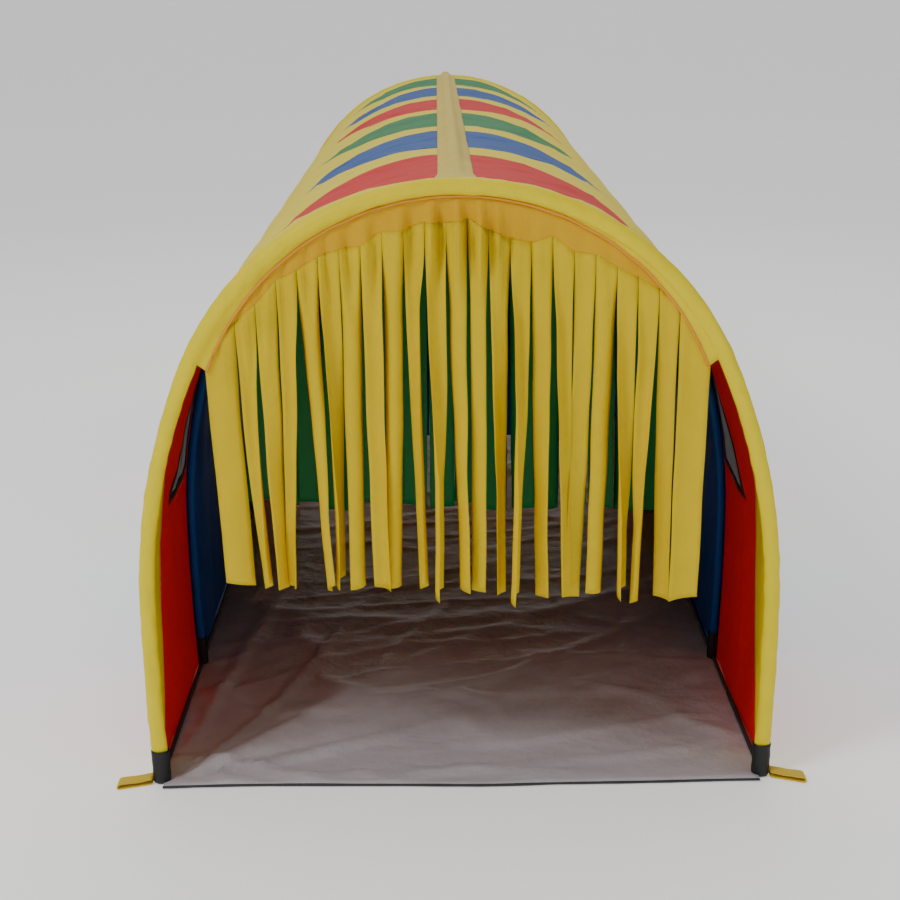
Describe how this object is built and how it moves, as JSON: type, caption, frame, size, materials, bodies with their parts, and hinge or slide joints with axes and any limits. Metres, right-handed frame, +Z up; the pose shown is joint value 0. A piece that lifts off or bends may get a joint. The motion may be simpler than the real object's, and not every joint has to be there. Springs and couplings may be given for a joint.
{
  "type": "agility tunnel",
  "caption": "Long arched fabric crawl tunnel on curved rods with hanging streamer curtains, mesh windows, a ground sheet and stake loops.",
  "frame": {"origin": "centre of the footprint, on the ground", "axes": "+Y along the tunnel from the front mouth to the rear mouth, +Z up, +X to the right seen from the front"},
  "size_m": [0.9862, 2.956, 0.8816],
  "materials": {
    "yellow_cloth": "plain woven polyester, thin coated back",
    "red_cloth": "plain woven polyester",
    "blue_cloth": "plain woven polyester",
    "green_cloth": "plain woven polyester",
    "ridge_cloth": "woven polyester, doubled",
    "streamer_cloth": "thin woven polyester, cut edges",
    "silver_sheet": "silver coated woven polyethylene, dark underside",
    "dark_piping": "matt bound edge",
    "orange_piping": "folded seam tape",
    "black_vinyl": "heavy coated cloth",
    "gold_webbing": "ribbed flat webbing",
    "dark_mesh": "open knitted mesh",
    "fibre_rod": "glass fibre rod",
    "ferrule_metal": "drawn tube"
  },
  "bodies": {
    "tunnel": {"arch_rods": "fibre_rod", "rod_ferrules": "ferrule_metal", "ridge_rod": "fibre_rod", "front_sleeve": "yellow_cloth", "rear_sleeve": "yellow_cloth", "inner_sleeves": "yellow_cloth", "foot_pockets": "black_vinyl", "bay_1_red": "red_cloth", "bay_2_blue": "blue_cloth", "bay_3_green": "green_cloth", "bay_4_red": "red_cloth", "bay_5_blue": "blue_cloth", "bay_6_green": "green_cloth", "front_gore": "yellow_cloth", "gore_1": "yellow_cloth", "gore_2": "yellow_cloth", "gore_3": "yellow_cloth", "gore_4": "yellow_cloth", "gore_5": "yellow_cloth", "rear_gore": "yellow_cloth", "ridge_strip": "ridge_cloth", "ground_sheet": "silver_sheet", "ground_piping": "dark_piping", "window_meshes": "dark_mesh", "window_bindings": "black_vinyl", "front_header": "streamer_cloth", "header_piping": "orange_piping", "green_header": "green_cloth", "blue_header": "blue_cloth", "rear_header": "streamer_cloth"},
    "front_left_loop": {"front_left_loop": "gold_webbing"},
    "front_right_loop": {"front_right_loop": "gold_webbing"},
    "rear_left_loop": {"rear_left_loop": "gold_webbing"},
    "rear_right_loop": {"rear_right_loop": "gold_webbing"},
    "green_curtain": {"green_streamers": "green_cloth"},
    "blue_curtain": {"blue_streamers": "blue_cloth"},
    "rear_curtain": {"rear_streamers": "streamer_cloth"},
    "streamer_01": {"streamer_01": "streamer_cloth"},
    "streamer_02": {"streamer_02": "streamer_cloth"},
    "streamer_03": {"streamer_03": "streamer_cloth"},
    "streamer_04": {"streamer_04": "streamer_cloth"},
    "streamer_05": {"streamer_05": "streamer_cloth"},
    "streamer_06": {"streamer_06": "streamer_cloth"},
    "streamer_07": {"streamer_07": "streamer_cloth"},
    "streamer_08": {"streamer_08": "streamer_cloth"},
    "streamer_09": {"streamer_09": "streamer_cloth"},
    "streamer_10": {"streamer_10": "streamer_cloth"},
    "streamer_11": {"streamer_11": "streamer_cloth"},
    "streamer_12": {"streamer_12": "streamer_cloth"},
    "streamer_13": {"streamer_13": "streamer_cloth"},
    "streamer_14": {"streamer_14": "streamer_cloth"},
    "streamer_15": {"streamer_15": "streamer_cloth"},
    "streamer_16": {"streamer_16": "streamer_cloth"},
    "streamer_17": {"streamer_17": "streamer_cloth"},
    "streamer_18": {"streamer_18": "streamer_cloth"},
    "streamer_19": {"streamer_19": "streamer_cloth"},
    "streamer_20": {"streamer_20": "streamer_cloth"},
    "streamer_21": {"streamer_21": "streamer_cloth"},
    "streamer_22": {"streamer_22": "streamer_cloth"},
    "streamer_23": {"streamer_23": "streamer_cloth"}
  },
  "joints": [
    {"name": "front_left_loop_flap", "type": "hinge", "parent": "tunnel", "child": "front_left_loop", "pos_m": [-0.45613, -1.448, 0.005], "axis": [0, 1, 0], "range_deg": [0, 80]},
    {"name": "front_right_loop_flap", "type": "hinge", "parent": "tunnel", "child": "front_right_loop", "pos_m": [0.45613, -1.448, 0.005], "axis": [0, -1, 0], "range_deg": [0, 80]},
    {"name": "rear_left_loop_flap", "type": "hinge", "parent": "tunnel", "child": "rear_left_loop", "pos_m": [-0.45613, 1.448, 0.005], "axis": [0, 1, 0], "range_deg": [0, 80]},
    {"name": "rear_right_loop_flap", "type": "hinge", "parent": "tunnel", "child": "rear_right_loop", "pos_m": [0.45613, 1.448, 0.005], "axis": [0, -1, 0], "range_deg": [0, 80]},
    {"name": "green_curtain_swing", "type": "hinge", "parent": "tunnel", "child": "green_curtain", "pos_m": [0, -0.96533, 0.6302], "axis": [1, 0, 0], "range_deg": [-50, 50]},
    {"name": "blue_curtain_swing", "type": "hinge", "parent": "tunnel", "child": "blue_curtain", "pos_m": [0, -0.48267, 0.6302], "axis": [1, 0, 0], "range_deg": [-50, 50]},
    {"name": "rear_curtain_swing", "type": "hinge", "parent": "tunnel", "child": "rear_curtain", "pos_m": [0, 1.448, 0.6277], "axis": [1, 0, 0], "range_deg": [-50, 50]},
    {"name": "streamer_01_swing", "type": "hinge", "parent": "tunnel", "child": "streamer_01", "pos_m": [-0.32868, -1.448, 0.6277], "axis": [1, 0, 0], "range_deg": [-55, 55]},
    {"name": "streamer_02_swing", "type": "hinge", "parent": "tunnel", "child": "streamer_02", "pos_m": [-0.29207, -1.448, 0.66911], "axis": [1, 0, 0], "range_deg": [-55, 55]},
    {"name": "streamer_03_swing", "type": "hinge", "parent": "tunnel", "child": "streamer_03", "pos_m": [-0.26287, -1.448, 0.69149], "axis": [1, 0, 0], "range_deg": [-55, 55]},
    {"name": "streamer_04_swing", "type": "hinge", "parent": "tunnel", "child": "streamer_04", "pos_m": [-0.23366, -1.448, 0.7106], "axis": [1, 0, 0], "range_deg": [-55, 55]},
    {"name": "streamer_05_swing", "type": "hinge", "parent": "tunnel", "child": "streamer_05", "pos_m": [-0.20445, -1.448, 0.72686], "axis": [1, 0, 0], "range_deg": [-55, 55]},
    {"name": "streamer_06_swing", "type": "hinge", "parent": "tunnel", "child": "streamer_06", "pos_m": [-0.17524, -1.448, 0.74061], "axis": [1, 0, 0], "range_deg": [-55, 55]},
    {"name": "streamer_07_swing", "type": "hinge", "parent": "tunnel", "child": "streamer_07", "pos_m": [-0.14604, -1.448, 0.75205], "axis": [1, 0, 0], "range_deg": [-55, 55]},
    {"name": "streamer_08_swing", "type": "hinge", "parent": "tunnel", "child": "streamer_08", "pos_m": [-0.11683, -1.448, 0.76138], "axis": [1, 0, 0], "range_deg": [-55, 55]},
    {"name": "streamer_09_swing", "type": "hinge", "parent": "tunnel", "child": "streamer_09", "pos_m": [-0.08762, -1.448, 0.7687], "axis": [1, 0, 0], "range_deg": [-55, 55]},
    {"name": "streamer_10_swing", "type": "hinge", "parent": "tunnel", "child": "streamer_10", "pos_m": [-0.05842, -1.448, 0.77412], "axis": [1, 0, 0], "range_deg": [-55, 55]},
    {"name": "streamer_11_swing", "type": "hinge", "parent": "tunnel", "child": "streamer_11", "pos_m": [-0.02921, -1.448, 0.7777], "axis": [1, 0, 0], "range_deg": [-55, 55]},
    {"name": "streamer_12_swing", "type": "hinge", "parent": "tunnel", "child": "streamer_12", "pos_m": [0, -1.448, 0.77948], "axis": [1, 0, 0], "range_deg": [-55, 55]},
    {"name": "streamer_13_swing", "type": "hinge", "parent": "tunnel", "child": "streamer_13", "pos_m": [0.02921, -1.448, 0.7777], "axis": [1, 0, 0], "range_deg": [-55, 55]},
    {"name": "streamer_14_swing", "type": "hinge", "parent": "tunnel", "child": "streamer_14", "pos_m": [0.05842, -1.448, 0.77412], "axis": [1, 0, 0], "range_deg": [-55, 55]},
    {"name": "streamer_15_swing", "type": "hinge", "parent": "tunnel", "child": "streamer_15", "pos_m": [0.08762, -1.448, 0.7687], "axis": [1, 0, 0], "range_deg": [-55, 55]},
    {"name": "streamer_16_swing", "type": "hinge", "parent": "tunnel", "child": "streamer_16", "pos_m": [0.11683, -1.448, 0.76138], "axis": [1, 0, 0], "range_deg": [-55, 55]},
    {"name": "streamer_17_swing", "type": "hinge", "parent": "tunnel", "child": "streamer_17", "pos_m": [0.14604, -1.448, 0.75205], "axis": [1, 0, 0], "range_deg": [-55, 55]},
    {"name": "streamer_18_swing", "type": "hinge", "parent": "tunnel", "child": "streamer_18", "pos_m": [0.17524, -1.448, 0.74061], "axis": [1, 0, 0], "range_deg": [-55, 55]},
    {"name": "streamer_19_swing", "type": "hinge", "parent": "tunnel", "child": "streamer_19", "pos_m": [0.20445, -1.448, 0.72686], "axis": [1, 0, 0], "range_deg": [-55, 55]},
    {"name": "streamer_20_swing", "type": "hinge", "parent": "tunnel", "child": "streamer_20", "pos_m": [0.23366, -1.448, 0.7106], "axis": [1, 0, 0], "range_deg": [-55, 55]},
    {"name": "streamer_21_swing", "type": "hinge", "parent": "tunnel", "child": "streamer_21", "pos_m": [0.26287, -1.448, 0.69149], "axis": [1, 0, 0], "range_deg": [-55, 55]},
    {"name": "streamer_22_swing", "type": "hinge", "parent": "tunnel", "child": "streamer_22", "pos_m": [0.29207, -1.448, 0.66911], "axis": [1, 0, 0], "range_deg": [-55, 55]},
    {"name": "streamer_23_swing", "type": "hinge", "parent": "tunnel", "child": "streamer_23", "pos_m": [0.32868, -1.448, 0.6277], "axis": [1, 0, 0], "range_deg": [-55, 55]}
  ]
}
